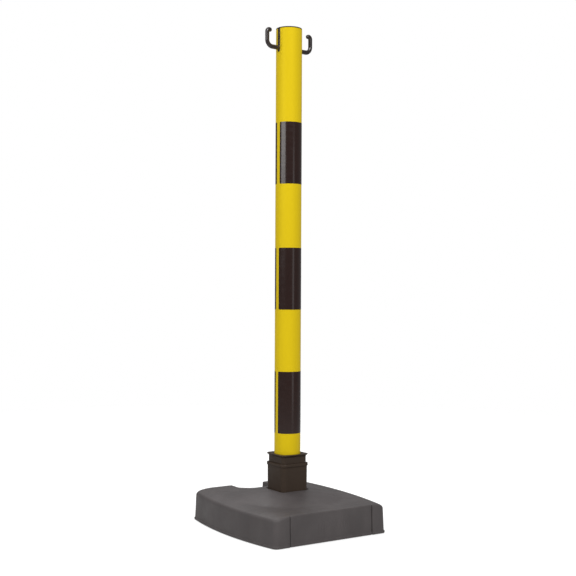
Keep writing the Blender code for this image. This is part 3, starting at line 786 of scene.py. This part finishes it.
def uneven_gloss(tree, value, shader, lowest, highest):
    spread = tree.nodes.new("ShaderNodeMapRange")
    spread.inputs["From Min"].default_value = 0.3
    spread.inputs["From Max"].default_value = 0.7
    spread.inputs["To Min"].default_value = lowest
    spread.inputs["To Max"].default_value = highest
    tree.links.new(value, spread.inputs["Value"])
    tree.links.new(spread.outputs["Result"], shader.inputs["Roughness"])


def add_bumps(tree, shader, *heights):
    """Adds bumps from (height, depth in metres) pairs, each on top of the one before."""
    normal = None
    for height, depth in heights:
        bump = tree.nodes.new("ShaderNodeBump")
        bump.inputs["Distance"].default_value = depth
        tree.links.new(height, bump.inputs["Height"])
        if normal:
            tree.links.new(normal, bump.inputs["Normal"])
        normal = bump.outputs["Normal"]
    tree.links.new(normal, shader.inputs["Normal"])


def moulded(name, color, roughness, mottle, grain_depth, grain_scale, shine=0.5):
    """Moulded plastic or rubber: a fine grain, streaky clouds of slightly other colour, uneven gloss."""
    finish, tree, shader, place = new_finish(name, roughness)
    shader.inputs["Specular IOR Level"].default_value = shine
    cloud = noise(tree, place, 24, 7, (1, 1, 2.5))
    shades(tree, cloud, shader, color, mottle)
    uneven_gloss(tree, noise(tree, place, 34, 4), shader, roughness - 0.06, roughness + 0.06)
    add_bumps(tree, shader, (noise(tree, place, grain_scale, 2), grain_depth), (cloud, 0.3 * MM))
    return finish


def extruded(name, color, gloss_tint, roughness):
    """Extruded plastic: fine lines along the tube, and a warm tint in its gloss."""
    finish, tree, shader, place = new_finish(name, roughness)
    shader.inputs["Specular IOR Level"].default_value = 0.3
    shader.inputs["Specular Tint"].default_value = (*gloss_tint, 1)
    lines = noise(tree, place, 420, 3, (1, 1, 60))
    shades(tree, noise(tree, place, 9, 4, (1, 1, 3)), shader, color, 0.025)
    uneven_gloss(tree, lines, shader, roughness - 0.03, roughness + 0.05)
    add_bumps(tree, shader, (lines, 0.012 * MM), (noise(tree, place, 60, 2), 0.05 * MM))
    return finish


def film(name, color, roughness):
    """Glossy adhesive film: it shows slight waves of the glue under it, and fine scuffs."""
    finish, tree, shader, place = new_finish(name, roughness)
    shader.inputs["Specular IOR Level"].default_value = 0.4
    shader.inputs["Coat Weight"].default_value = 0.3
    shader.inputs["Coat Roughness"].default_value = 0.12
    scuffs = noise(tree, place, 260, 4, (5, 5, 1))
    shades(tree, noise(tree, place, 20, 4), shader, color, 0.08)
    uneven_gloss(tree, scuffs, shader, roughness - 0.04, roughness + 0.06)
    add_bumps(tree, shader, (noise(tree, place, 75, 2), 0.08 * MM), (scuffs, 0.01 * MM))
    return finish


def cast(name, color):
    """Cast concrete: grey clouds with a rough, pitted surface."""
    finish, tree, shader, place = new_finish(name, 0.9)
    shades(tree, noise(tree, place, 40, 6), shader, color, 0.2)
    pits = tree.nodes.new("ShaderNodeTexVoronoi")
    pits.inputs["Scale"].default_value = 260
    tree.links.new(place, pits.inputs["Vector"])
    add_bumps(tree, shader, (pits.outputs["Distance"], 0.6 * MM), (noise(tree, place, 700, 4), 0.3 * MM))
    return finish


def plated(name, color):
    """Zinc-plated steel with a slightly spotted gloss."""
    finish, tree, shader, place = new_finish(name, 0.35, metallic=1)
    spots = noise(tree, place, 500, 4)
    shades(tree, spots, shader, color, 0.1)
    uneven_gloss(tree, spots, shader, 0.26, 0.42)
    add_bumps(tree, shader, (noise(tree, place, 1500, 2), 0.02 * MM))
    return finish


# Stage


def make_floor():
    """A round pale floor that fades out far from the object, so that no horizon shows."""
    bm = bmesh.new()
    loops = add_rings(bm, [circle(radius, 0, 96) for radius in (0.5 * FLOOR_RADIUS, FLOOR_RADIUS)])
    bm.faces.new(loops[0])
    bmesh.ops.recalc_face_normals(bm, faces=bm.faces)
    mesh = bpy.data.meshes.new("floor")
    bm.to_mesh(mesh)
    bm.free()
    floor = bpy.data.objects.new("floor", mesh)
    bpy.context.scene.collection.objects.link(floor)
    finish, tree, shader, place = new_finish("floor_white", 0.9)
    shader.inputs["Base Color"].default_value = (FLOOR_GREY, FLOOR_GREY, FLOOR_GREY, 1)
    shader.inputs["Specular IOR Level"].default_value = 0
    shader.inputs["Emission Color"].default_value = (1, 1, 1, 1)
    glow = tree.nodes.new("ShaderNodeMath")
    glow.operation = "MULTIPLY"
    glow.inputs[1].default_value = FLOOR_GLOW
    tree.links.new(tree.nodes.new("ShaderNodeLightPath").outputs["Is Camera Ray"], glow.inputs[0])
    tree.links.new(glow.outputs["Value"], shader.inputs["Emission Strength"])
    length = tree.nodes.new("ShaderNodeVectorMath")
    length.operation = "LENGTH"
    fade = tree.nodes.new("ShaderNodeMapRange")
    fade.interpolation_type = "SMOOTHSTEP"
    fade.inputs["From Min"].default_value = FLOOR_FADE_START * FLOOR_RADIUS
    fade.inputs["From Max"].default_value = FLOOR_FADE_END * FLOOR_RADIUS
    fade.inputs["To Min"].default_value = 1
    fade.inputs["To Max"].default_value = 0
    tree.links.new(place, length.inputs[0])
    tree.links.new(length.outputs["Value"], fade.inputs["Value"])
    tree.links.new(fade.outputs["Result"], shader.inputs["Alpha"])
    mesh.materials.append(finish)


def add_softbox(name, place, target, size, radiance):
    """A rectangular soft light, as bright as radiance all over its face."""
    light = bpy.data.lights.new(name, "AREA")
    light.shape = "RECTANGLE"
    light.size, light.size_y = size
    light.energy = radiance * pi * size[0] * size[1]
    lamp = bpy.data.objects.new(name, light)
    lamp.location = place
    lamp.rotation_euler = (Vector(target) - Vector(place)).to_track_quat("-Z", "Y").to_euler()
    bpy.context.scene.collection.objects.link(lamp)


def make_world():
    """White to the camera, and a softer light grey to the object."""
    world = bpy.data.worlds.new("studio")
    world.use_nodes = True
    bpy.context.scene.world = world
    tree = world.node_tree
    background = tree.nodes["Background"]
    background.inputs["Color"].default_value = (1, 1, 1, 1)
    seen = tree.nodes.new("ShaderNodeLightPath").outputs["Is Camera Ray"]
    strength = tree.nodes.new("ShaderNodeMapRange")
    strength.inputs["To Min"].default_value = ROOM_RADIANCE
    strength.inputs["To Max"].default_value = 1
    tree.links.new(seen, strength.inputs["Value"])
    tree.links.new(strength.outputs["Result"], background.inputs["Strength"])


def make_light():
    make_world()
    for name, place, target, size, radiance in SOFTBOXES:
        add_softbox(name, place, target, size, radiance)
    view = bpy.context.scene.view_settings
    view.view_transform = "Standard"
    view.look = "None"


def make_camera():
    data = bpy.data.cameras.new("camera")
    data.sensor_width = 36
    data.lens = CAMERA_LENS
    camera = bpy.data.objects.new("camera", data)
    bpy.context.scene.collection.objects.link(camera)
    heading = Matrix.Rotation(-CAMERA_BEARING, 4, "Z")
    level = Matrix.Rotation(pi / 2, 4, "X") @ Matrix.Rotation(CAMERA_ROLL, 4, "Z")
    place = heading @ Vector((0, -CAMERA_DISTANCE, 0)) + Vector((0, 0, CAMERA_HEIGHT))
    camera.matrix_world = Matrix.Translation(place) @ heading @ level
    bpy.context.scene.camera = camera


def main():
    base_grey = moulded("base_grey_moulded", BASE_GREY, 0.5, 0.14, 0.15 * MM, 1000, 0.4)
    socket_black = moulded("socket_black_moulded", SOCKET_BLACK, 0.4, 0.08, 0.05 * MM, 1400, 0.15)
    hook_black = moulded("hook_black_moulded", HOOK_BLACK, 0.26, 0.08, 0.04 * MM, 1400, 0.8)
    post_yellow = extruded("post_yellow_extruded", POST_YELLOW, POST_GLOSS_TINT, 0.42)
    band_black = film("band_film", BAND_BLACK, 0.2)
    rubber = moulded("foot_rubber_moulded", RUBBER_BLACK, 0.8, 0.1, 0.2 * MM, 800)

    make_base_shell(base_grey)
    make_socket_sleeve(socket_black)
    make_post_adapter(socket_black)
    make_post_tube(post_yellow)
    for node in BAND_SEAMS_DEG:
        make_band(node, band_black)
    make_hook_insert(hook_black)
    make_top_cap(socket_black)
    carried = {"ballast_block": cast("ballast_cast", CONCRETE_GREY), "base_plate": base_grey}
    screw_steel = plated("screw_steel_plated", ZINC_GREY)
    for number in (1, 2, 3, 4):
        carried[f"plate_screw_{number}"] = screw_steel
        carried[f"rubber_foot_{number}"] = rubber
    for node, finish in carried.items():
        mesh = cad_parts[node].data
        mesh.materials.clear()
        mesh.materials.append(finish)

    make_floor()
    make_light()
    make_camera()


main()
